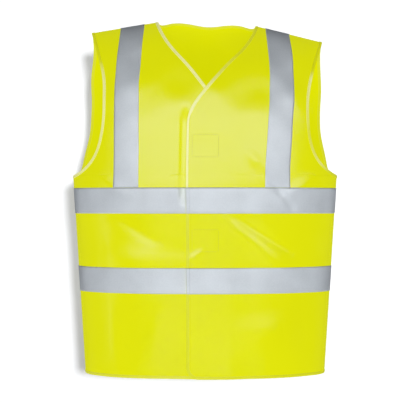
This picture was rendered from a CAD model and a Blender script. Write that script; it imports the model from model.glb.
"""High visibility vest: draped cloth, reflective tape, bound edges and stitching over the CAD frame."""

import bmesh
import bpy
import numpy as np
from bpy.props import BoolProperty, FloatProperty, FloatVectorProperty, PointerProperty
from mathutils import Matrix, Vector


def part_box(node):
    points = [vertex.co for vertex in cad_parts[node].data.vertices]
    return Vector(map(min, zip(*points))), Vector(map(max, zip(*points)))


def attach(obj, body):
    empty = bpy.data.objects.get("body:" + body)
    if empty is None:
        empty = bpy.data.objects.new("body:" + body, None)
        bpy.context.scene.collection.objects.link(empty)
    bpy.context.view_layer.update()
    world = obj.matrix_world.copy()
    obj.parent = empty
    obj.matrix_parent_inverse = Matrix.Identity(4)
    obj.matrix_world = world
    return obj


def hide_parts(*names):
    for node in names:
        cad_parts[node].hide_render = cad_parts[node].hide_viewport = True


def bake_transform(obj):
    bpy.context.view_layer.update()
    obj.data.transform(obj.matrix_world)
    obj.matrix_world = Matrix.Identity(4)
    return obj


bl_info = {
    "name": "High visibility vest",
    "version": (1, 0, 0),
    "blender": (4, 5, 0),
    "location": "View3D > Sidebar > Vest",
    "description": "Makes a worn high visibility vest with tapes, bindings, closures and stitching",
    "category": "Add Mesh",
}

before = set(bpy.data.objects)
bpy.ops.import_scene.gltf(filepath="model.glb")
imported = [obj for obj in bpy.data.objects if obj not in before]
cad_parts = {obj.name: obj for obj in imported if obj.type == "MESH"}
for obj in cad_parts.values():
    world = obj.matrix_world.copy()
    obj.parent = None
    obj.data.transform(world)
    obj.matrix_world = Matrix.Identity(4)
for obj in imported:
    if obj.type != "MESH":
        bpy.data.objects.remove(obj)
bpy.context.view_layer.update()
FRONT = -1
BACK = 1
BODY = "vest_body"
SIDES = {1: "left", -1: "right"}
SQUARENESS = 0.12            # how much the section is squarer than an ellipse
SHOULDER_ROUNDNESS = 0.24
NECK_ROUNDING = 0.0009       # square metres, rounds the shoulder line at the neck
SHOULDER_TURN = 1.2          # rise above which the rows of the back bend to the neckline
CORNER_RADIUS = 0.022        # lower front corners
NECK_TURN = 0.074            # below the point of the V, where the lap edge starts to lean
LAP_LIFT = 0.0032            # how far the lapped front stands off
SEAM_GAP = 0.0008            # radians between the cloth's edge and the side seam
TUCKED = 0.0009              # how far a raw edge lies inside its binding
UNDERSIDE = 0.00015          # lift of the cloth's inner face
TAPE_THICKNESS = 0.0005
HAIR = 0.00002               # gap that keeps two faces apart
STITCH_INSET = 0.0025        # stitches to the edge of a tape
BINDING_INSET = 0.0016       # stitches to the inner edge of a binding
TINY_STEP = 1e-4
GRID = 15                    # points across a tape
SEAM_INSIDE, SEAM_OUTSIDE = -0.0011, -0.00005


def span(node, axis):
    """Lowest and highest place of a CAD node along an axis."""
    low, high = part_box(node)
    return low[axis], high[axis]


HEM = -span("back_panel", 2)[0]
BANDS = {level: span(level + "_band_back", 2) for level in ("upper", "lower")}
BAND_HIGH = BANDS["upper"][1]
TAPE_IN, TAPE_OUT = span("back_tape_left", 0)


def metres(name, description, default):
    """A length that the user can change."""
    return FloatProperty(name=name, description=description, default=default, unit="LENGTH")


def watts(name, description, default):
    """The power of a light."""
    return FloatProperty(name=name, description=description, default=default, unit="POWER")


def colour(name, description, default):
    """A colour that the user can change."""
    return FloatVectorProperty(name=name, description=description, default=default, subtype="COLOR",
                               min=0, max=1)


class VestCut(bpy.types.PropertyGroup):
    """Sizes of the worn vest."""

    length: metres("Length", "Shoulder seam at the neck to the hem", HEM + 0.0005)
    hem_half: metres("Hem half width", "Centreline to the side at the hem", 0.240)
    chest_half: metres("Chest half width", "Centreline to the side at the armholes", 0.265)
    hem_depth: metres("Hem depth", "Centreline to the front at the hem", 0.126)
    chest_depth: metres("Chest depth", "Centreline to the front at the chest", 0.138)
    chest_drop: metres("Chest drop", "Where the cloth starts to turn to the shoulders", 0.235)
    neck_half: metres("Neck half width", "Neck end of the shoulder seam", 0.098)
    shoulder_half: metres("Shoulder half width", "Outer end of the shoulder seam", 0.232)
    shoulder_fall: metres("Shoulder fall", "Drop along the shoulder seam", 0.028)
    neckline_drop: metres("Neckline drop", "Point of the V neck", 0.136)
    armhole_drop: metres("Armhole drop", "Bottom of the armholes", 0.305)
    armhole_front: metres("Front armhole", "Deepest cut of the front armhole", 0.202)
    armhole_back: metres("Back armhole", "Deepest cut of the back armhole", 0.237)
    lap_half: metres("Half lap", "Each front passes the centreline by this much", 0.036)
    cloth: metres("Cloth thickness", "Knitted cloth with its loft", 0.001)
    binding_width: metres("Binding width", "Visible width of the edge binding", 0.006)
    drape: FloatProperty(name="Drape", description="Depth of the soft folds", default=1.0, min=0, max=2)
    hang_roll: FloatProperty(name="Hang", description="How far one shoulder hangs lower than the other",
                             default=0.040, min=-0.1, max=0.1)
    stitches: BoolProperty(name="Stitches", description="Sew real thread into every seam", default=True)


class VestColours(bpy.types.PropertyGroup):
    """Colours of the cloth, tapes and threads."""

    cloth: colour("Cloth", "Fluorescent knitted cloth", (0.22, 0.224, 0.0005))
    glow: colour("Glow", "Fluorescence of the cloth", (0.66, 0.68, 0.0015))
    binding: colour("Binding", "Satin edge binding", (0.40, 0.40, 0.20))
    tape: colour("Tape", "Retroreflective tape", (0.60, 0.645, 0.69))
    hook: colour("Fastener", "Hook and loop pads", (0.60, 0.62, 0.02))
    label: colour("Label", "Blank care label", (0.82, 0.82, 0.80))


class VestStudio(bpy.types.PropertyGroup):
    """Camera and light."""

    distance: metres("Camera distance", "Camera to the shoulder plane", 2.8)
    width_seen: metres("Width seen", "Width of the view at the shoulder plane", 0.814)
    eye_drop: metres("Eye drop", "Camera height below the shoulders", 0.357)
    softbox: watts("Softbox", "Power of the large front light", 80)
    fill: watts("Fill", "Power of the low front light", 120)
    strip: watts("Strip", "Power of the slim side light", 0.6)
    sun: FloatProperty(name="Key", description="Strength of the light that falls past the vest", default=2.2)


# ---- worn shape ---------------------------------------------------------------------------------

def cut():
    """The sizes the user has set."""
    return bpy.context.scene.vest_cut


def half_width(z):
    """Centreline to the side at a height."""
    c = cut()
    return c.hem_half + (c.chest_half - c.hem_half) * (z + c.length) / (c.length - c.armhole_drop)


def ridge(x):
    """Height of the shoulder line."""
    c = cut()
    run = np.sqrt(x * x + NECK_ROUNDING) - (c.neck_half ** 2 + NECK_ROUNDING) ** 0.5
    return -run * c.shoulder_fall / (c.shoulder_half - c.neck_half)


def body_point(side, turn, rise):
    """Points of the body surface: turn goes round the section, rise from hem 0 to shoulder 2."""
    c = cut()
    turn, rise = np.broadcast_arrays(np.asarray(turn, float), np.asarray(rise, float))
    low = np.minimum(rise, 1)
    lean = np.maximum(rise - 1, 0) * np.pi / 2
    z = np.where(rise <= 1, -c.length + (c.length - c.chest_drop) * low, -c.chest_drop)
    for _ in range(5):
        x = half_width(z) * np.sin(turn)
        z = np.where(rise <= 1, z, -c.chest_drop + (ridge(x) + c.chest_drop) * np.sin(lean))
    depth = np.where(rise <= 1, c.chest_depth - (c.chest_depth - c.hem_depth) * (1 - low) ** 2,
                     c.chest_depth * np.cos(lean) * (1 - SHOULDER_ROUNDNESS * np.sin(lean) ** 2))
    y = side * depth * np.cos(turn) * (1 + SQUARENESS * np.sin(turn) ** 2)
    return np.stack([x, y, z], -1)


def unit(v):
    """The same directions at length 1."""
    return v / np.maximum(np.linalg.norm(v, axis=-1, keepdims=True), 1e-12)


def distance_along(path):
    """How far each point of a path is from its start."""
    return np.concatenate([[0], np.cumsum(np.linalg.norm(np.diff(path, axis=0), axis=1))])


def outward(side, turn, rise):
    """Direction away from the body."""
    step = TINY_STEP
    across = body_point(side, turn + step, rise) - body_point(side, turn - step, rise)
    upward = body_point(side, turn, rise + step) - body_point(side, turn, rise - step)
    return unit(np.cross(across, upward)) * -side


def ease(a, b, v):
    """Runs smoothly from 0 at a to 1 at b."""
    t = np.clip((v - a) / (b - a), 0, 1)
    return t * t * (3 - 2 * t)


def fold(x, z, start, end, width, height):
    """A soft ridge along the line from start to end."""
    a, b = np.array(start), np.array(end)
    d = b - a
    t = np.clip(((x - a[0]) * d[0] + (z - a[1]) * d[1]) / (d @ d), 0, 1)
    off = np.hypot(x - a[0] - t * d[0], z - a[1] - t * d[1])
    return height * np.exp(-(off / width) ** 2) * np.sin(np.pi * np.clip(0.08 + 0.84 * t, 0, 1)) ** 0.5


def ripple(x, z, scale, phase):
    """Smooth irregular waves, about one per scale."""
    u, v = x / scale * 2 * np.pi, z / scale * 2 * np.pi
    return (np.sin(u + 0.6 * np.sin(v * 0.7 + phase) + phase)
            + np.sin(0.61 * u + 0.83 * v + 2.1 * phase + 0.8 * np.sin(u * 0.45))
            + np.sin(-0.47 * u + 0.92 * v + 3.7 * phase)) / 3


FRONT_FOLDS = [
    ((0.040, -0.400), (0.150, -0.482), 0.020, 0.0050),
    ((0.060, -0.388), (0.165, -0.455), 0.011, -0.0028),
    ((-0.200, -0.470), (-0.060, -0.478), 0.045, 0.0075),
    ((-0.170, -0.385), (-0.100, -0.430), 0.012, -0.0020),
    ((-0.185, -0.560), (-0.175, -0.690), 0.022, 0.0035),
    ((-0.085, -0.560), (-0.105, -0.660), 0.020, 0.0028),
    ((-0.215, -0.300), (-0.150, -0.345), 0.014, 0.0025),
    ((0.225, -0.300), (0.150, -0.350), 0.012, 0.0040),
    ((0.105, -0.290), (0.165, -0.368), 0.008, -0.0034),
    ((0.085, -0.265), (0.135, -0.325), 0.010, 0.0028),
    ((0.060, -0.620), (0.150, -0.610), 0.035, 0.0050),
    ((0.190, -0.560), (0.200, -0.690), 0.022, -0.0030),
    ((-0.006, -0.452), (-0.028, -0.470), 0.006, 0.0022),
    ((0.000, -0.560), (0.020, -0.690), 0.030, -0.0016),
]
BACK_FOLDS = [
    ((-0.120, -0.380), (-0.150, -0.690), 0.030, 0.0050),
    ((-0.050, -0.560), (-0.060, -0.690), 0.025, -0.0035),
    ((0.040, -0.420), (0.055, -0.690), 0.030, 0.0045),
    ((0.130, -0.400), (0.165, -0.690), 0.030, -0.0040),
    ((-0.090, -0.060), (-0.150, -0.220), 0.025, 0.0030),
    ((0.100, -0.060), (0.150, -0.230), 0.025, 0.0035),
    ((0.210, -0.300), (0.120, -0.360), 0.018, 0.0030),
    ((-0.210, -0.300), (-0.130, -0.350), 0.018, 0.0030),
]


def slack(side, turn, rise, base, lapped=False):
    """How far the cloth hangs out from the body surface, in soft folds that die out at the seams."""
    x, z = base[..., 0], base[..., 2]
    held = (1 - ease(1.15, 1.5, np.abs(turn))) * (1 - ease(1.45, 1.95, rise))
    total = np.zeros_like(x)
    for line in (FRONT_FOLDS if side == FRONT else BACK_FOLDS):
        total += fold(x, z, *line)
    loose = ease(0.9, 0.0, rise)
    total += 0.0016 * ripple(x, z, 0.19, 0.7 + side) + 0.0022 * loose * ripple(x, 0.25 * z, 0.13, 1.9 + side)
    total += 0.0022 * ripple(x, z, 0.080, 2.6 + side) * ease(0.9, 1.3, rise)
    if side == FRONT:
        total += 0.008 * ease(-0.20, -0.345, z) * ease(-0.46, -0.365, z)
        if not lapped:
            total -= (0.006 * ease(-0.054, -0.042, x) * ease(-0.028, -0.038, x)
                      * ease(-0.165, -0.205, z) * ease(-0.37, -0.34, z))
    return total * held * cut().drape


def worn(side, turn, rise, lift=0.0, lapped=False):
    """Points of the hanging cloth at a lift from the body surface, lapped for the wearer's left front."""
    c = cut()
    turn, rise = np.broadcast_arrays(np.asarray(turn, float), np.asarray(rise, float))
    base = body_point(side, turn, rise)
    out = lift + slack(side, turn, rise, base, lapped)
    if lapped:
        out = out + LAP_LIFT * ease(0.088, 0.042, base[..., 0])
    p = base + outward(side, turn, rise) * out[..., None]
    top = ease(-0.30, -0.02, p[..., 2])
    p[..., 2] -= c.hang_roll * p[..., 0] * top
    p[..., 0] += 0.002 + 0.004 * top
    return p


def chart(x, z):
    """Turn and rise of a place seen from ahead."""
    c = cut()
    x, z = np.asarray(x, float), np.asarray(z, float)
    turn = np.arcsin(np.clip(x / half_width(z), -1, 1))
    share = np.clip((z + c.chest_drop) / (ridge(x) + c.chest_drop), 0, 1)
    rise = np.where(z <= -c.chest_drop, (z + c.length) / (c.length - c.chest_drop),
                    1 + np.arcsin(share) * 2 / np.pi)
    return turn, rise


def smooth_curve(points, start, end, count):
    """A clamped cubic spline through points, count samples."""
    p = np.array(points, float)
    h = np.linalg.norm(np.diff(p, axis=0), axis=1)
    n = len(p)
    a, b = np.eye(n), np.zeros_like(p)
    b[0], b[-1] = unit(np.array(start, float)), unit(np.array(end, float))
    for i in range(1, n - 1):
        a[i, i - 1:i + 2] = [h[i], 2 * (h[i - 1] + h[i]), h[i - 1]]
        b[i] = 3 * (h[i] * (p[i] - p[i - 1]) / h[i - 1] + h[i - 1] * (p[i + 1] - p[i]) / h[i])
    slope = np.linalg.solve(a, b)
    at = np.concatenate([[0], np.cumsum(h)])
    t = np.linspace(0, at[-1], count)
    k = np.clip(np.searchsorted(at, t, side="right") - 1, 0, n - 2)
    u = ((t - at[k]) / h[k])[:, None]
    return ((2 * u ** 3 - 3 * u ** 2 + 1) * p[k] + (u ** 3 - 2 * u ** 2 + u) * slope[k] * h[k][:, None]
            + (3 * u ** 2 - 2 * u ** 3) * p[k + 1] + (u ** 3 - u ** 2) * slope[k + 1] * h[k][:, None])


def armhole_line(hand, side, count=160):
    """Edge of an armhole seen from ahead, from the shoulder tip down to the side seam."""
    c = cut()
    if side == FRONT:
        deep, upper, low_out, low_up, start = c.armhole_front, 0.003, 0.024, 0.022, (-0.35, -1)
    else:
        deep, upper, low_out, low_up, start = c.armhole_back, 0.0, 0.012, 0.032, (-0.1, -1)
    points = [(c.shoulder_half, -c.shoulder_fall), (deep + upper, -0.123), (deep, -0.205),
              (deep + low_out, -c.armhole_drop + low_up), (c.chest_half + 0.001, -c.armhole_drop)]
    return smooth_curve(points, start, (1, 0), count) * np.array([hand, 1])


def front_line(hand):
    """Finished front edge seen from ahead: hem at the side seam, lower corner, lap, V neck, shoulder."""
    c = cut()
    lap = -c.lap_half
    turned = -c.neckline_drop - NECK_TURN
    radius = CORNER_RADIUS
    hem = [(x, -c.length) for x in np.linspace(c.hem_half + 0.001, lap + radius, 90)]
    corner = [(lap + radius - radius * np.sin(a), -c.length + radius - radius * np.cos(a))
              for a in np.linspace(0, np.pi / 2, 12)[1:]]
    rise = [(lap, z) for z in np.linspace(-c.length + radius, turned, 160)[1:]]
    neck = smooth_curve([(lap, turned), (lap * 0.83, turned + 0.030), (0, -c.neckline_drop),
                         (0.35 * c.neck_half, -0.68 * c.neckline_drop),
                         (0.66 * c.neck_half, -0.44 * c.neckline_drop), (c.neck_half, 0)],
                        (0, 1), (0.3, 1), 120)
    line = np.array(hem + corner + rise + [tuple(p) for p in neck[1:]])
    return line * np.array([hand, 1])


def back_neck_line(count=90):
    """Finished back neckline, from shoulder to shoulder."""
    c = cut()
    return smooth_curve([(-c.neck_half, 0), (-0.8 * c.neck_half, -0.0007), (0, -0.001),
                         (0.8 * c.neck_half, -0.0007), (c.neck_half, 0)], (0.5, -1), (0.5, 1), count)


# ---- mesh helpers -------------------------------------------------------------------------------

def make_mesh(name, points, faces, uvs=None):
    """A smooth shaded mesh object in the scene."""
    mesh = bpy.data.meshes.new(name)
    mesh.from_pydata([tuple(p) for p in points], [], faces)
    if uvs is not None:
        layer = mesh.uv_layers.new(name="metres")
        index = np.zeros(len(mesh.loops), np.int64)
        mesh.loops.foreach_get("vertex_index", index)
        layer.data.foreach_set("uv", np.asarray(uvs, np.float32)[index].ravel())
    mesh.polygons.foreach_set("use_smooth", [True] * len(mesh.polygons))
    mesh.update()
    obj = bpy.data.objects.new(name, mesh)
    bpy.context.scene.collection.objects.link(obj)
    return obj


def lay_shell(outer, inner):
    """Faces, points and flat places of a thin closed sheet between two grids."""
    rows, cols = outer.shape[:2]
    n = rows * cols
    grid = np.arange(n).reshape(rows, cols)
    a, b, c, d = grid[:-1, :-1], grid[:-1, 1:], grid[1:, 1:], grid[1:, :-1]
    face = np.stack([a, b, c, d], -1).reshape(-1, 4)
    under = np.stack([a + n, d + n, c + n, b + n], -1).reshape(-1, 4)
    loop = np.concatenate([grid[0, :], grid[1:, -1], grid[-1, -2::-1], grid[-2:0:-1, 0]])
    after = np.roll(loop, -1)
    rim = np.stack([loop, loop + n, after + n, after], -1)
    across = np.concatenate([np.zeros((rows, 1)),
                             np.cumsum(np.linalg.norm(np.diff(outer, axis=1), axis=-1), 1)], 1)
    along = np.concatenate([np.zeros((1, cols)),
                            np.cumsum(np.linalg.norm(np.diff(outer, axis=0), axis=-1), 0)], 0)
    middle = along[:, cols // 2][:, None] * np.ones((1, cols))
    flat = np.stack([across, middle], -1).reshape(-1, 2)
    faces = np.concatenate([face, under, rim])
    return np.concatenate([outer.reshape(-1, 3), inner.reshape(-1, 3)]), faces, np.concatenate([flat, flat])


def cloth_piece(name, side, turn, rise, low, high, lapped=False, material=None):
    """A sheet of cloth between two lifts over a grid of turns and rises."""
    outer = worn(side, turn, rise, high, lapped)
    inner = worn(side, turn, rise, low, lapped)
    points, faces, flat = lay_shell(outer, inner)
    facing = np.cross(outer[0, 1] - outer[0, 0], outer[1, 0] - outer[0, 0])
    if facing @ outward(side, turn, rise)[0, 0] < 0:
        faces = faces[:, ::-1]
    obj = make_mesh(name, points, faces.tolist(), flat)
    if material:
        obj.data.materials.append(material)
    return obj


def between(rises, left, right, cols):
    """Grids of turn and rise whose rows run between two edges, each a pair of turns and rises."""
    def edge(line):
        turns, heights = line
        order = np.argsort(heights)
        return np.interp(rises, np.asarray(heights)[order], np.asarray(turns)[order])
    share = np.linspace(0, 1, cols)[None, :]
    a, b = edge(left)[:, None], edge(right)[:, None]
    return a + (b - a) * share, np.asarray(rises)[:, None] * np.ones((1, cols))


def path_frames(side, turn, rise, inward_sign):
    """Directions along and into the cloth at each place of a path, as steps of turn and rise."""
    p = worn(side, turn, rise)
    along = unit(np.gradient(p, axis=0))
    step = TINY_STEP
    du = (worn(side, turn + step, rise) - worn(side, turn - step, rise)) / (2 * step)
    dv = (worn(side, turn, rise + step) - worn(side, turn, rise - step)) / (2 * step)
    into = unit(np.cross(outward(side, turn, rise), along)) * inward_sign
    uu, vv, uv = (du * du).sum(-1), (dv * dv).sum(-1), (du * dv).sum(-1)
    iu, iv = (into * du).sum(-1), (into * dv).sum(-1)
    det = np.maximum(uu * vv - uv * uv, 1e-12)
    return (iu * vv - iv * uv) / det, (iv * uu - iu * uv) / det


def resample(line, gap):
    """The same path with even spacing."""
    line = np.asarray(line, float)
    at = distance_along(line)
    t = np.linspace(0, at[-1], max(3, int(at[-1] / gap)))
    return np.stack([np.interp(t, at, line[:, i]) for i in range(line.shape[1])], -1)


BINDING_PROFILE = np.array([
    (6.0, 1.02), (5.95, 1.40), (5.2, 1.58), (4.2, 1.66), (3.0, 1.68), (1.6, 1.62), (0.5, 1.45), (0.0, 1.1),
    (-0.2, 0.5), (0.0, -0.1), (0.5, -0.42), (1.6, -0.58), (3.0, -0.62), (4.2, -0.60), (5.2, -0.55),
    (5.95, -0.40), (6.0, -0.02), (4.5, 0.0), (2.5, 0.0), (1.1, 0.1), (0.9, 0.5), (1.1, 0.9), (2.5, 1.0),
    (4.5, 1.0)]) / 1000
BINDING_GIRTH = 0.018


def binding_piece(name, side, turn, rise, inward, lapped, material, shine=((-1, 0), (1, 0))):
    """A folded strip of binding swept along an edge; shine is how glossy its satin lies at each height."""
    du, dv = path_frames(side, turn, rise, inward)
    length = distance_along(worn(side, turn, rise))
    pucker = 1 + 0.05 * np.sin(length * 2 * np.pi / 0.0062) + 0.06 * np.sin(length * 2 * np.pi / 0.0211 + 1)
    ring = [worn(side, turn + du * a, rise + dv * a, h * pucker if h > 0.0011 else h, lapped)
            for a, h in BINDING_PROFILE]
    body = np.stack(ring, 1)
    rows, cols = body.shape[:2]
    grid = np.arange(rows * cols).reshape(rows, cols)
    nxt = np.roll(grid, -1, axis=1)
    quads = np.stack([grid[:-1], nxt[:-1], nxt[1:], grid[1:]], -1).reshape(-1, 4)
    faces = quads.tolist() + [grid[0].tolist()[::-1], grid[-1].tolist()]
    girth = np.linspace(0, BINDING_GIRTH, cols)
    flat = np.stack(np.meshgrid(distance_along(body[:, 4]), girth, indexing="ij"), -1)
    obj = make_mesh(name, body.reshape(-1, 3), faces, flat.reshape(-1, 2))
    heights, levels = zip(*shine)
    gloss = np.interp(body[..., 2].ravel(), heights, levels)
    obj.data.attributes.new("shine", "FLOAT", "POINT").data.foreach_set("value", gloss.astype(np.float32))
    return turn_out(obj, material)


def turn_out(obj, material):
    """Makes the faces of a closed mesh look outwards and gives it its material."""
    work = bmesh.new()
    work.from_mesh(obj.data)
    bmesh.ops.recalc_face_normals(work, faces=work.faces)
    work.to_mesh(obj.data)
    work.free()
    obj.data.materials.append(material)
    return obj


THREAD = []
for at, size in [(-0.5, 0.25), (-0.30, 0.9), (0.0, 1.0), (0.30, 0.9), (0.5, 0.25)]:
    for corner in range(6):
        angle = corner * np.pi / 3
        THREAD.append((at, size * np.cos(angle), size * np.sin(angle)))
THREAD = np.array(THREAD)
THREAD_FACES = [[r * 6 + k, r * 6 + (k + 1) % 6, r * 6 + 6 + (k + 1) % 6, r * 6 + 6 + k]
                for r in range(4) for k in range(6)]
THREAD_FACES += [[5, 4, 3, 2, 1, 0], [24, 25, 26, 27, 28, 29]]


def sew(name, rows, material, pitch=0.0034, thread=0.00032):
    """Rows of stitches; each row is side, turn, rise, lift, lapped, its stitches half sunk in the cloth."""
    points, faces = [], []
    for side, turn, rise, lift, lapped in rows:
        path = worn(side, turn, rise, lift, lapped)
        both = np.concatenate([path, np.stack([turn, rise], -1)], 1)
        at = distance_along(path)
        count = int(at[-1] / pitch)
        if count < 2:
            continue
        middle = (np.arange(count) + 0.5) * pitch
        place, ahead, before = [np.stack([np.interp(middle + off, at, line) for line in both.T], -1)
                                for off in (0, 0.0004, -0.0004)]
        along = unit(ahead[:, :3] - before[:, :3])
        up = outward(side, place[:, 3], place[:, 4])
        across = unit(np.cross(up, along))
        made = (place[:, None, :3] + THREAD[None, :, 0, None] * along[:, None] * pitch * 0.82
                + THREAD[None, :, 1, None] * across[:, None] * thread
                + THREAD[None, :, 2, None] * up[:, None] * thread)
        first = sum(len(p) for p in points)
        points.append(made.reshape(-1, 3))
        base = (np.arange(count) * 30)[:, None] + first
        for f in THREAD_FACES:
            faces.extend((base + np.array(f)[None, :]).tolist())
    obj = make_mesh(name, np.concatenate(points), faces)
    return turn_out(obj, material)


# ---- materials ----------------------------------------------------------------------------------

def new_material(name):
    """An empty material with its shader and output."""
    material = bpy.data.materials.new(name)
    material.use_nodes = True
    tree = material.node_tree
    tree.nodes.clear()
    shader = tree.nodes.new("ShaderNodeBsdfPrincipled")
    shader.location = (300, 0)
    output = tree.nodes.new("ShaderNodeOutputMaterial")
    output.location = (600, 0)
    tree.links.new(shader.outputs["BSDF"], output.inputs["Surface"])
    return material, tree, shader


def add_node(tree, kind, at, **values):
    """A node with its settings and unlinked sockets filled in."""
    node = tree.nodes.new(kind)
    node.location = at
    for key, value in values.items():
        if hasattr(node, key):
            setattr(node, key, value)
        else:
            node.inputs[key.replace("_", " ")].default_value = value
    return node


def flat_place(tree, pitch, at):
    """Places on the cloth, pitch to the metre."""
    uv = add_node(tree, "ShaderNodeUVMap", at, uv_map="metres")
    mapping = add_node(tree, "ShaderNodeMapping", (at[0] + 180, at[1]), Scale=(pitch, pitch, pitch))
    tree.links.new(uv.outputs["UV"], mapping.inputs["Vector"])
    return mapping.outputs["Vector"]


def shade(color, factor):
    """A colour made darker or paler, with full alpha."""
    return tuple(c * factor for c in color) + (1.0,)


def fill_sockets(tree, node, values):
    """Links each value that is another node's output, and sets each that is a constant."""
    for key, value in values.items():
        socket = node.inputs[key.replace("_", " ") if isinstance(key, str) else key]
        if isinstance(value, bpy.types.NodeSocket):
            tree.links.new(value, socket)
        else:
            socket.default_value = value


def cloud(tree, at, scale, detail=2.0, roughness=0.5):
    """Irregular variation through the piece."""
    noise = add_node(tree, "ShaderNodeTexNoise", at, Scale=scale, Detail=detail, Roughness=roughness)
    place = add_node(tree, "ShaderNodeTexCoord", (at[0] - 400, at[1]))
    tree.links.new(place.outputs["Object"], noise.inputs["Vector"])
    return noise.outputs["Fac"]


def threads(tree, at, direction, pitch, distortion=0.0, detail=1.0):
    """Fine parallel threads on the flat cloth."""
    wave = add_node(tree, "ShaderNodeTexWave", at, bands_direction=direction, Scale=1.0,
                    Distortion=distortion, Detail=detail)
    tree.links.new(flat_place(tree, pitch, (at[0] - 400, at[1])), wave.inputs["Vector"])
    return wave.outputs["Fac"]


def tufts(tree, at, pitch, randomness=1.0):
    """Small round cells on the flat cloth: beads, hooks or loops."""
    cells = add_node(tree, "ShaderNodeTexVoronoi", at, Scale=1.0, Randomness=randomness)
    tree.links.new(flat_place(tree, pitch, (at[0] - 400, at[1])), cells.inputs["Vector"])
    return cells.outputs["Distance"]


def tone(tree, at, level, color, low, high, start=0.0, end=1.0):
    """A colour that goes from its low to its high factor with the level."""
    ramp = add_node(tree, "ShaderNodeValToRGB", at)
    for element, place, factor in zip(ramp.color_ramp.elements, (start, end), (low, high)):
        element.position = place
        element.color = shade(color, factor)
    tree.links.new(level, ramp.inputs["Fac"])
    return ramp.outputs["Color"]


def mixed(tree, at, amount, first, second, blend="MIX"):
    """Two colours mixed by an amount."""
    mix = add_node(tree, "ShaderNodeMix", at, data_type="RGBA", blend_type=blend)
    fill_sockets(tree, mix, {0: amount, 6: first, 7: second})
    return mix.outputs[2]


def between_levels(tree, at, level, low, high):
    """The middle of a cloud's range spread from low to high."""
    spread = add_node(tree, "ShaderNodeMapRange", at, From_Min=0.3, From_Max=0.7, To_Min=low, To_Max=high)
    tree.links.new(level, spread.inputs["Value"])
    return spread.outputs["Result"]


def relief(tree, at, height, strength, distance, over=None):
    """A bump, laid over another where one is given."""
    bump = add_node(tree, "ShaderNodeBump", at, Strength=strength, Distance=distance)
    tree.links.new(height, bump.inputs["Height"])
    if over:
        tree.links.new(over, bump.inputs["Normal"])
    return bump.outputs["Normal"]


def knit_material(name, color, glow, glow_strength):
    """Warp knitted polyester: fine wales and courses, a soft sheen and slightly uneven dye."""
    material, tree, shader = new_material(name)
    weave = add_node(tree, "ShaderNodeMath", (-480, -400), operation="MULTIPLY")
    fill_sockets(tree, weave, {0: threads(tree, (-700, -250), "X", 260, 0.6),
                               1: threads(tree, (-700, -550), "Y", 210, 0.4)})
    weave = weave.outputs["Value"]
    slub = cloud(tree, (-700, 150), 38.0, 4.0, 0.6)
    dye = tone(tree, (-420, 300), cloud(tree, (-700, 400), 7.0), color, 0.93, 1.05, 0.3, 0.7)
    fill_sockets(tree, shader, {
        "Base Color": mixed(tree, (-150, 200), 0.10, dye, weave, "MULTIPLY"),
        "Roughness": between_levels(tree, (-420, 0), slub, 0.12, 0.19),
        "Normal": relief(tree, (50, -350), weave, 0.25, 0.00025,
                         relief(tree, (-150, -600), slub, 0.20, 0.0015)),
        "Emission Color": shade(glow, 1.0),
        "Emission Strength": glow_strength,
        "Specular IOR Level": 0.5,
        "Specular Tint": (0.32, 0.34, 1.0, 1.0),
        "IOR": 1.6,
    })
    return material


def satin_material(name, color, shine):
    """Woven satin tape with fine cross ribs, pale where it lies glossy."""
    material, tree, shader = new_material(name)
    dye = tone(tree, (-420, 200), cloud(tree, (-700, 200), 60.0, 3.0), color, 0.90, 1.10)
    lie = add_node(tree, "ShaderNodeAttribute", (-700, 500), attribute_name="shine").outputs["Fac"]
    fill_sockets(tree, shader, {
        "Base Color": mixed(tree, (-150, 250), lie, dye, shade(shine, 1.0)),
        "Emission Color": mixed(tree, (-150, -50), lie, (0.66, 0.68, 0.0015, 1.0), (0.70, 0.70, 0.26, 1.0)),
        "Emission Strength": 0.74,
        "Normal": relief(tree, (0, -300), threads(tree, (-700, -300), "X", 300, 0.5), 0.2, 0.0002),
        "Roughness": 0.30,
        "Specular IOR Level": 0.5,
        "Specular Tint": (0.6, 0.62, 1.0, 1.0),
    })
    return material


def tape_material(name, color):
    """Glass bead retroreflective tape: silver grey, finely grained, with faint wear."""
    material, tree, shader = new_material(name)
    wear = cloud(tree, (-700, 350), 16.0, 3.0, 0.55)
    silver = tone(tree, (-420, 300), wear, color, 0.90, 1.06, 0.25, 0.75)
    grain = cloud(tree, (-700, 100), 420.0)
    fill_sockets(tree, shader, {
        "Base Color": mixed(tree, (-150, 200), 0.12, silver, grain, "OVERLAY"),
        "Roughness": between_levels(tree, (-420, 0), wear, 0.36, 0.46),
        "Normal": relief(tree, (0, -300), tufts(tree, (-700, -300), 2600), 0.12, 0.0001),
        "Metallic": 0.08,
    })
    return material


def pad_material(name, color, pitch, strength):
    """Hook or loop pad: a dense pile of small tufts."""
    material, tree, shader = new_material(name)
    pile = tufts(tree, (-700, -200), pitch, 0.55)
    fill_sockets(tree, shader, {
        "Base Color": tone(tree, (-420, 200), pile, color, 1.15, 0.65),
        "Normal": relief(tree, (0, -300), pile, strength, 0.0006),
        "Roughness": 0.85,
        "Emission Color": shade(color, 1.0),
        "Emission Strength": 0.45,
    })
    return material


def thread_material(name, color):
    """Spun polyester sewing thread."""
    material, tree, shader = new_material(name)
    twist = cloud(tree, (-500, 0), 900.0)
    fill_sockets(tree, shader, {"Base Color": tone(tree, (-250, 0), twist, color, 0.85, 1.1),
                                "Roughness": 0.55})
    return material


def label_material(name, color):
    """Blank woven label tape."""
    material, tree, shader = new_material(name)
    weave = threads(tree, (-700, -200), "Y", 700, detail=2.0)
    fill_sockets(tree, shader, {
        "Base Color": tone(tree, (-420, 100), weave, color, 0.92, 1.03),
        "Normal": relief(tree, (0, -300), weave, 0.2, 0.0001),
        "Roughness": 0.5,
    })
    return material


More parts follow.
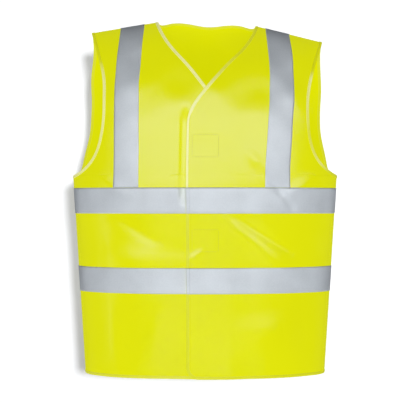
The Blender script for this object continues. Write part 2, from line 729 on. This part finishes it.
def finish_named(name):
    """A shared material, made the first time it is asked for."""
    found = bpy.data.materials.get(name)
    if found:
        return found
    v = bpy.context.scene.vest_colours
    makers = {
        "vest_cloth": lambda: knit_material(name, v.cloth, v.glow, 0.86),
        "satin_binding": lambda: satin_material(name, v.cloth, v.binding),
        "silver_tape": lambda: tape_material(name, v.tape),
        "hook_pad": lambda: pad_material(name, v.hook, 900, 0.8),
        "loop_pad": lambda: pad_material(name, v.hook, 1500, 0.5),
        "yellow_thread": lambda: thread_material(name, (0.62, 0.62, 0.03)),
        "grey_thread": lambda: thread_material(name, (0.62, 0.65, 0.66)),
        "label_tape": lambda: label_material(name, v.label),
    }
    return makers[name]()


# ---- how the pieces go with the bodies ---------------------------------------------------------


def hang(obj, slot, *nodes, hand=0):
    """Gives a piece its finish, the CAD nodes it stands for and the body it goes with.

    The back stays on the vest body; a front bends from the shoulder into its swinging body.
    """
    if hand:
        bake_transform(obj)
    else:
        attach(obj, BODY)
    if nodes:
        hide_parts(*nodes)


def panel_rows(count=250):
    """Rises of the rows of cloth, closer together round the underarm."""
    c = cut()
    under = (c.length - c.armhole_drop) / (c.length - c.chest_drop)
    dense = np.concatenate([np.linspace(0, 2, count), under + np.linspace(-0.01, 0.14, 60),
                            [0.0015, 0.004, 0.008, 0.013, 0.02, 0.03]])
    dense = np.unique(np.round(dense, 5))
    return dense[np.concatenate([[True], np.diff(dense) > 0.0012])]


def parallel_line(line, amount, sign):
    """The same line shifted to its left (sign 1) or right (sign -1), seen from ahead."""
    along = unit(np.gradient(line, axis=0))
    return line + np.stack([-along[:, 1], along[:, 0]], -1) * sign * amount


def side_edge(hand, side):
    """Edge of a panel as turns and rises: up the side seam and round the armhole, under its binding."""
    arm = parallel_line(armhole_line(hand, side), TUCKED, -hand)[::-1]
    turn, rise = chart(arm[:, 0], arm[:, 1])
    count = 40
    seam = np.linspace(-0.01, rise[0] - 0.0005, count)
    return (np.concatenate([np.full(count, hand * (np.pi / 2 - SEAM_GAP)), turn]),
            np.concatenate([seam, rise]))


def front_edges(hand):
    """Inner and outer edge of one front as turns and rises."""
    lap = parallel_line(front_line(hand), TUCKED, -hand)
    lap = lap[lap[:, 1] > -cut().length + TUCKED * 1.01]
    return chart(lap[:, 0], lap[:, 1]), side_edge(hand, FRONT)


def rows_above_hem():
    """Rises of the rows of cloth from the inside of the hem binding."""
    c = cut()
    rises = panel_rows()
    bottom = TUCKED / (c.length - c.chest_drop)
    return np.concatenate([[bottom], rises[rises > bottom]])


class VEST_OT_back(bpy.types.Operator):
    """Makes the back of the vest"""

    bl_idname = "vest.back"
    bl_label = "Back"

    def execute(self, context):
        neck = parallel_line(back_neck_line(), TUCKED, -1)
        neck_turn, neck_rise = chart(neck[:, 0], neck[:, 1])
        cols = 181
        turn, rise = side_edge(1, BACK)
        rows = rows_above_hem()[:, None]
        turns = np.interp(rows, rise, turn) * np.linspace(-1, 1, cols)[None, :]
        heights = rows * np.ones((1, cols))
        ceiling = np.minimum(np.interp(turns, neck_turn, neck_rise, left=2, right=2), 2)
        share = (rows - SHOULDER_TURN) / (2 - SHOULDER_TURN)
        heights = np.where(rows > SHOULDER_TURN, SHOULDER_TURN + share * (ceiling - SHOULDER_TURN), heights)
        obj = cloth_piece("back_cloth", BACK, turns, heights, UNDERSIDE, cut().cloth * 0.85,
                          material=finish_named("vest_cloth"))
        hang(obj, "vest_fabric", "back_panel")
        return {"FINISHED"}


class VEST_OT_fronts(bpy.types.Operator):
    """Makes the two fronts, the wearer's left over the right"""

    bl_idname = "vest.fronts"
    bl_label = "Fronts"

    def execute(self, context):
        for hand, side in SIDES.items():
            turns, heights = between(rows_above_hem(), *front_edges(hand), 101)
            obj = cloth_piece(side + "_front_cloth", FRONT, turns, heights, UNDERSIDE, cut().cloth * 0.85,
                              hand > 0, finish_named("vest_cloth"))
            hang(obj, "vest_fabric", side + "_front_panel", side + "_front_yoke", hand=hand)
        return {"FINISHED"}


def tape_lean(side, hand, z):
    """How far a vertical tape wanders sideways from its straight place."""
    if side == BACK:
        return np.interp(z, (-0.12, -0.03), (0, -0.009 if hand > 0 else 0.001))
    if hand > 0:
        return np.interp(z, (-0.34, -0.29, -0.23, -0.16, -0.11, -0.07, -0.02),
                         (-0.013, -0.012, -0.007, -0.003, -0.003, -0.005, -0.009))
    return np.interp(z, (-0.34, -0.26, -0.20, -0.13, -0.08, -0.02),
                     (0.000, -0.001, -0.003, -0.005, -0.003, 0.001))


def shoulder_run(side, x, hand, lower, count, top, upper_count):
    """Turns and rises up a vertical tape, at places x across it, from the upper band over the shoulder."""
    z = np.linspace(lower, -cut().chest_drop, count)
    _, straight = chart(np.zeros_like(z), z)
    rise = np.concatenate([straight[:-1], np.linspace(1, top, upper_count)])
    height = body_point(side, 0.5, rise)[..., 2]
    across = x + tape_lean(side, hand, height)[:, None]
    return np.arcsin(np.clip(across / half_width(height)[:, None], -1, 1)), rise


class VEST_OT_tapes(bpy.types.Operator):
    """Lays the reflective bands round the body and over the shoulders"""

    bl_idname = "vest.tapes"
    bl_label = "Reflective tapes"

    def execute(self, context):
        c = cut()
        silver = finish_named("silver_tape")
        low, high = c.cloth + HAIR, c.cloth + TAPE_THICKNESS
        quarter = np.pi / 2 - SEAM_GAP
        for name, (bottom, top) in BANDS.items():
            _, rows = chart(np.zeros(GRID), np.linspace(bottom, top, GRID))
            turns, heights = np.meshgrid(np.linspace(-quarter, quarter, 260), rows)
            obj = cloth_piece(name + "_band_of_back", BACK, turns, heights, low, high, material=silver)
            hang(obj, "reflective_tape", name + "_band_back")
            for hand, side in SIDES.items():
                lap_turn, _ = chart(-hand * c.lap_half, (bottom + top) / 2)
                inset, _ = chart(-hand * (c.lap_half - c.binding_width), (bottom + top) / 2)
                step_up = (inset - lap_turn) * 1.6
                share = np.concatenate([np.linspace(0, 1, 24) * step_up + lap_turn,
                                        np.linspace(step_up + lap_turn, hand * quarter, 150)[1:]])
                place = np.abs(share - lap_turn) / np.abs(inset - lap_turn)
                rise_over = 0.00075 * ease(1.14, 0.94, place) - 0.0004 * ease(0.10, 0.0, place)
                turns, heights = np.meshgrid(share, rows)
                obj = cloth_piece(name + "_band_of_" + side, FRONT, turns, heights,
                                  low + rise_over[None, :], high + rise_over[None, :], hand > 0, silver)
                hang(obj, "reflective_tape", name + "_band_" + side, hand=hand)
        edges = np.linspace(TAPE_IN, TAPE_OUT, GRID)
        for hand, side in SIDES.items():
            for facing, name in ((FRONT, "_front"), (BACK, "_back")):
                turns, rises = shoulder_run(facing, hand * edges, hand, BAND_HIGH + 0.0002, 40, 1.972, 90)
                ahead = facing == FRONT
                obj = cloth_piece(side + name + "_shoulder_tape", facing, turns,
                                  rises[:, None] * np.ones((1, GRID)), low, high, hand > 0 and ahead, silver)
                nodes = ("front_tape_" + side, "yoke_tape_" + side) if ahead else ("back_tape_" + side,)
                hang(obj, "reflective_tape", *nodes, hand=hand if ahead else 0)
        return {"FINISHED"}


def trimmed(line, gap=0.0022):
    """An edge line as evenly spaced turns and rises."""
    line = resample(line, gap)
    return chart(line[:, 0], line[:, 1])


LAP_SHINE = ((-0.70, 0.03), (-0.45, 0.06), (-0.37, 0.12), (-0.34, 0.95), (-0.16, 1.0), (-0.125, 0.75),
             (-0.10, 0.25), (-0.07, 0.05))
NECK_SHINE = ((-0.70, 0.1), (-0.15, 1.0), (0.01, 1.0))
ARM_SHINE = {-1: ((-0.31, 1.0), (-0.26, 0.75), (-0.18, 0.9), (-0.12, 1.0), (-0.095, 0.5), (-0.08, 0.0)),
             1: ((-0.30, 0.05), (-0.283, 0.55), (-0.262, 0.35), (-0.22, 0.12), (-0.16, 0.7), (-0.115, 0.75),
                 (-0.10, 0.0))}


class VEST_OT_bindings(bpy.types.Operator):
    """Folds satin binding over every raw edge"""

    bl_idname = "vest.bindings"
    bl_label = "Edge bindings"

    def execute(self, context):
        c = cut()
        satin = finish_named("satin_binding")
        near = np.pi / 2 - 0.001

        def bind(name, node, side, line, inward, lapped=False, hand=0, shine=((-1, 0.1), (1, 0.1))):
            turn, rise = trimmed(line)
            obj = binding_piece(name, side, np.clip(turn, -near, near), rise, inward, lapped, satin, shine)
            hang(obj, "binding", node, hand=hand)

        for hand, side in SIDES.items():
            bind(side + "_front_binding", side + "_edge_binding", FRONT, front_line(hand), -hand,
                 hand > 0, hand, LAP_SHINE if hand > 0 else NECK_SHINE)
            bind(side + "_armhole_front_binding", side + "_front_armhole_binding", FRONT,
                 armhole_line(hand, FRONT), -hand, hand > 0, hand, ARM_SHINE[hand])
            bind(side + "_armhole_back_binding", side + "_armhole_binding", BACK,
                 armhole_line(hand, BACK), hand)
        bind("back_neck_binding", "neck_binding", BACK, back_neck_line(), 1)
        hem = np.linspace(-c.hem_half, c.hem_half, 600)
        bind("back_hem_fold", "back_hem_binding", BACK, np.stack([hem, np.full(600, -c.length)], -1), -1)
        return {"FINISHED"}


class VEST_OT_closures(bpy.types.Operator):
    """Adds the hook and loop pads under and on the lap"""

    bl_idname = "vest.closures"
    bl_label = "Closures"

    def execute(self, context):
        rim = 0.0004
        for level in ("upper", "lower"):
            for kind, hand, low, high in (("hook", 1, -0.0009, -HAIR), ("loop", -1, 0.00102, 0.0019)):
                node = f"{level}_{kind}_patch"
                (x1, x2), (z1, z2) = span(node, 0), span(node, 2)
                xs, zs = np.meshgrid(np.linspace(x1 + rim, x2 - rim, 24),
                                     np.linspace(z1 + rim, z2 - rim, 22))
                turn, rise = chart(xs, zs)
                obj = cloth_piece(f"{level}_{kind}_pad", FRONT, turn, rise, low, high, hand > 0,
                                  finish_named(kind + "_pad"))
                hang(obj, "hook_and_loop", node, hand=hand)
        return {"FINISHED"}


def seam_allowance(name, node, rows):
    """Overlocked edges joined inside a seam; rows are side, turn and rise, from the front to the back."""
    outer, inner = [np.stack([worn(*row, lift) for row in rows], 1) for lift in (SEAM_OUTSIDE, SEAM_INSIDE)]
    points, faces, flat = lay_shell(outer, inner)
    obj = turn_out(make_mesh(name, points, faces.tolist(), flat), finish_named("vest_cloth"))
    hang(obj, "vest_fabric", node)


class VEST_OT_seams(bpy.types.Operator):
    """Joins the back to the fronts at the shoulders and sides, and sews in the care label"""

    bl_idname = "vest.seams"
    bl_label = "Seams and label"

    def execute(self, context):
        c = cut()
        z = np.linspace(-c.length + 0.0012, -c.armhole_drop - 0.0015, 90)
        _, rise = chart(np.zeros_like(z), z)
        radius = 0.135
        for hand, side in SIDES.items():
            rows = [(facing, hand * (np.pi / 2 - off / radius), rise)
                    for facing, offs in ((FRONT, (0.008, 0.004, 0.001)), (BACK, (0.001, 0.004, 0.008)))
                    for off in offs]
            seam_allowance(side + "_side_seam_allowance", side + "_side_seam", rows)
            x = np.linspace(c.neck_half + 0.0015, c.shoulder_half - 0.0015, 60) * hand
            turn = np.arcsin(x / half_width(ridge(x)))
            rows = [(facing, turn, top) for facing, tops in ((FRONT, (1.955, 1.975, 1.995)),
                                                             (BACK, (1.995, 1.975, 1.955))) for top in tops]
            seam_allowance(side + "_shoulder_seam_allowance", side + "_shoulder_seam", rows)
        low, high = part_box("care_label")
        _, rise = chart(0.0, np.linspace(low[2], high[2], 40))
        round_side = np.linspace(1.0, np.pi / 2, 400)
        depths = body_point(BACK, round_side, rise[20])[:, 1]
        turn = np.interp(np.linspace(low[1], high[1], 26), depths[::-1], round_side[::-1])
        turn, rise = np.meshgrid(turn, rise)
        obj = cloth_piece("blank_care_label", BACK, turn, rise, -0.00032, -0.00004,
                          material=finish_named("label_tape"))
        hang(obj, "care_label", "care_label")
        return {"FINISHED"}


def row_at(side, x, z, lift, lapped=False):
    """One row of stitches through places seen from ahead."""
    line = resample(np.stack(np.broadcast_arrays(np.asarray(x, float), np.asarray(z, float)), -1), 0.002)
    turn, rise = chart(line[:, 0], line[:, 1])
    return side, turn, rise, lift, lapped


def edge_row(side, line, hand_sign, lift, inset, lapped=False):
    """A row of stitches along an edge, set in from it."""
    line = resample(parallel_line(resample(line, 0.002), inset, hand_sign), 0.002)
    turn, rise = chart(line[:, 0], line[:, 1])
    near = np.pi / 2 - 0.002
    return side, np.clip(turn, -near, near), rise, lift, lapped


def tape_rows(side, near_end, lift, lapped=False, hands=(1, -1)):
    """Stitches along both edges of every tape on one side."""
    rows = []
    for band in BANDS.values():
        for z in (band[0] + STITCH_INSET, band[1] - STITCH_INSET):
            reach = float(half_width(z)) * np.sin(np.pi / 2 - 0.01)
            ends = [-reach, reach] if near_end is None else [hands[0] * near_end, hands[0] * reach]
            rows.append(row_at(side, np.array(ends), z, lift, lapped))
    for hand in hands:
        for x in (TAPE_IN + STITCH_INSET, TAPE_OUT - STITCH_INSET):
            turn, rise = shoulder_run(side, np.array([hand * x]), hand, BAND_HIGH + 0.002, 60, 1.97, 160)
            rows.append((side, turn[:, 0], rise, lift, lapped))
    return rows


class VEST_OT_stitches(bpy.types.Operator):
    """Sews the tapes, the bindings and the closure boxes"""

    bl_idname = "vest.stitches"
    bl_label = "Stitches"

    def execute(self, context):
        c = cut()
        if not c.stitches:
            return {"FINISHED"}
        yellow, grey = finish_named("yellow_thread"), finish_named("grey_thread")
        on_tape, on_binding, on_cloth = c.cloth + 0.00052, c.cloth + 0.00062, c.cloth * 0.9
        inset = c.binding_width - BINDING_INSET
        hang(sew("tape_stitches_of_back", tape_rows(BACK, None, on_tape), grey), "seam_thread")
        for hand, side in SIDES.items():
            lapped = hand > 0
            rows = tape_rows(FRONT, 0.010 - c.lap_half, on_tape, lapped, (hand,))
            hang(sew("tape_stitches_of_" + side, rows, grey), "seam_thread", hand=hand)
            rows = [edge_row(FRONT, line, -hand, on_binding, inset, lapped)
                    for line in (front_line(hand), armhole_line(hand, FRONT))]
            for level in ("upper", "lower") if lapped else ():
                (x1, x2), (z1, z2) = span(f"{level}_hook_patch", 0), span(f"{level}_hook_patch", 2)
                edge = 0.003
                left, right, bottom, top = x1 + edge, x2 - edge, z1 + edge, z2 - edge
                box = [(left, bottom), (right, bottom), (right, top), (left, top), (left, bottom)]
                for start, end in zip(box[:-1], box[1:]):
                    x, z = np.array([start, end]).T
                    rows.append(row_at(FRONT, x, z, on_cloth, lapped))
            hang(sew("edge_stitches_of_" + side, rows, yellow), "seam_thread", hand=hand)
        rows = [edge_row(BACK, armhole_line(hand, BACK), -hand, on_binding, inset) for hand in SIDES]
        rows.append(edge_row(BACK, back_neck_line(), -1, on_binding, inset))
        reach = c.hem_half * 0.999
        rows.append(row_at(BACK, np.array([-reach, reach]), -c.length + inset, on_binding))
        hang(sew("edge_stitches_of_back", rows, yellow), "seam_thread")
        return {"FINISHED"}


# ---- studio -------------------------------------------------------------------------------------

def add_object(name, data, place):
    """A new object in the scene."""
    obj = bpy.data.objects.new(name, data)
    obj.location = place
    bpy.context.scene.collection.objects.link(obj)
    return obj


def area_light(name, place, target, size, power):
    """A rectangular light that looks at its target."""
    data = bpy.data.lights.new(name, "AREA")
    data.shape = "RECTANGLE"
    data.size, data.size_y = size
    data.energy = power
    obj = add_object(name, data, place)
    obj.rotation_euler = (Vector(target) - Vector(place)).to_track_quat("-Z", "Y").to_euler()
    return obj


def wall_material(name, color, glow):
    """Matt painted board, hardly uneven, lit a little from itself."""
    material, tree, shader = new_material(name)
    fill_sockets(tree, shader, {
        "Base Color": tone(tree, (-250, 0), cloud(tree, (-500, 0), 0.8, 1.0), color, 0.995, 1.0),
        "Roughness": 1.0,
        "Specular IOR Level": 0.0,
        "Emission Color": (1, 1, 1, 1),
        "Emission Strength": glow,
    })
    return material


def seen_from_behind(material):
    """Lets the back of a backdrop be seen through."""
    tree = material.node_tree
    output = next(n for n in tree.nodes if n.type == "OUTPUT_MATERIAL")
    shader = output.inputs["Surface"].links[0].from_socket
    clear = add_node(tree, "ShaderNodeBsdfTransparent", (300, -450))
    facing = add_node(tree, "ShaderNodeNewGeometry", (100, 250))
    both = add_node(tree, "ShaderNodeMixShader", (480, 0))
    tree.links.new(facing.outputs["Backfacing"], both.inputs[0])
    tree.links.new(shader, both.inputs[1])
    tree.links.new(clear.outputs["BSDF"], both.inputs[2])
    tree.links.new(both.outputs["Shader"], output.inputs["Surface"])


class VEST_OT_stage(bpy.types.Operator):
    """Sets up the backdrop, the lights and the camera"""

    bl_idname = "vest.stage"
    bl_label = "Studio"

    def execute(self, context):
        v = context.scene.vest_studio
        context.scene.view_settings.view_transform = "Standard"
        wall = self.backdrop()
        all_but_wall = bpy.data.collections.new("not_lit_by_fill")
        all_but_wall.objects.link(wall)
        all_but_wall.collection_objects[0].light_linking.link_state = "EXCLUDE"
        self.air()
        middle = (0, 0, -0.38)
        for name, place, target, size, power, for_gloss in (
                ("softbox", (0, -2.7, 0.55), (0, 0, -0.30), (5.2, 1.5), v.softbox, True),
                ("fill", (0, -3.2, -1.5), middle, (2.6, 1.4), v.fill, False),
                ("rear_fill", (0.6, 3.0, 0.3), middle, (2.6, 1.4), v.fill * 0.45, False),
                ("strip", (-2.0, -0.85, -0.82), (-0.19, -0.09, -0.61), (0.22, 0.55), v.strip, True)):
            lamp = area_light(name, place, target, size, power)
            if for_gloss:
                lamp.visible_diffuse = False
            else:
                lamp.visible_glossy = False
                lamp.light_linking.receiver_collection = all_but_wall
        for piece in [o for o in context.scene.objects if o.type == "MESH" and o != wall]:
            piece.light_linking.receiver_collection = all_but_wall
        self.key_light(wall, v.sun)
        data = bpy.data.cameras.new("view")
        data.sensor_width = 36
        data.lens = data.sensor_width * v.distance / v.width_seen
        data.sensor_fit = "HORIZONTAL"
        camera = add_object("view", data, (-0.005, -v.distance, -v.eye_drop))
        camera.rotation_euler = (np.pi / 2, 0, 0)
        context.scene.camera = camera
        return {"FINISHED"}

    def backdrop(self):
        """A pale wall close behind the vest, which takes its shadow and is clear from behind."""
        white = wall_material("studio_white", (0.86, 0.87, 0.92), 0.42)
        x, y, z = 4, 0.20, 3
        wall = make_mesh("backdrop", [(-x, y, -z), (x, y, -z), (x, y, z), (-x, y, z)], [[0, 1, 2, 3]])
        wall.data.materials.append(white)
        wall.visible_glossy = False
        wall.visible_shadow = False
        seen_from_behind(white)
        return wall

    def air(self):
        """White where the camera sees past everything, and a faint light on the vest."""
        world = bpy.data.worlds.new("studio_air")
        world.use_nodes = True
        tree = world.node_tree
        seen = add_node(tree, "ShaderNodeLightPath", (-500, 0))
        level = add_node(tree, "ShaderNodeMapRange", (-250, 0), To_Min=0.04, To_Max=1.0)
        tree.links.new(seen.outputs["Is Camera Ray"], level.inputs["Value"])
        fill_sockets(tree, tree.nodes["Background"], {"Color": (1, 1, 1, 1),
                                                      "Strength": level.outputs["Result"]})
        bpy.context.scene.world = world

    def key_light(self, wall, strength):
        """A soft edged sun that lights the wall alone, so that the vest's shadow falls on it."""
        key = bpy.data.lights.new("key", "SUN")
        key.energy = strength
        key.angle = np.radians(6)
        obj = add_object("key", key, (1, -3, 1))
        obj.visible_glossy = False
        obj.rotation_euler = Vector((-0.17, 1, -0.11)).to_track_quat("-Z", "Y").to_euler()
        lit = bpy.data.collections.new("lit_by_key")
        lit.objects.link(wall)
        obj.light_linking.receiver_collection = lit


OPERATORS = (VEST_OT_back, VEST_OT_fronts, VEST_OT_tapes, VEST_OT_bindings, VEST_OT_closures, VEST_OT_seams,
             VEST_OT_stitches, VEST_OT_stage)


class VEST_PT_panel(bpy.types.Panel):
    """The vest's sizes, colours and pieces"""

    bl_idname = "VEST_PT_panel"
    bl_label = "High visibility vest"
    bl_space_type = "VIEW_3D"
    bl_region_type = "UI"
    bl_category = "Vest"

    def draw(self, context):
        for group in (context.scene.vest_cut, context.scene.vest_colours, context.scene.vest_studio):
            box = self.layout.box()
            for key in group.__annotations__:
                box.prop(group, key)
        for kind in OPERATORS:
            self.layout.operator(kind.bl_idname)


GROUPS = {"vest_cut": VestCut, "vest_colours": VestColours, "vest_studio": VestStudio}


def register():
    for kind in (*GROUPS.values(), *OPERATORS, VEST_PT_panel):
        bpy.utils.register_class(kind)
    for name, kind in GROUPS.items():
        setattr(bpy.types.Scene, name, PointerProperty(type=kind))


def unregister():
    for name in GROUPS:
        delattr(bpy.types.Scene, name)
    for kind in (VEST_PT_panel, *reversed(OPERATORS), *GROUPS.values()):
        bpy.utils.unregister_class(kind)


def main():
    """Makes the vest piece by piece."""
    register()
    bpy.ops.vest.back()
    bpy.ops.vest.fronts()
    bpy.ops.vest.tapes()
    bpy.ops.vest.bindings()
    bpy.ops.vest.closures()
    bpy.ops.vest.seams()
    bpy.ops.vest.stitches()
    bpy.ops.vest.stage()


if __name__ == "__main__":
    main()
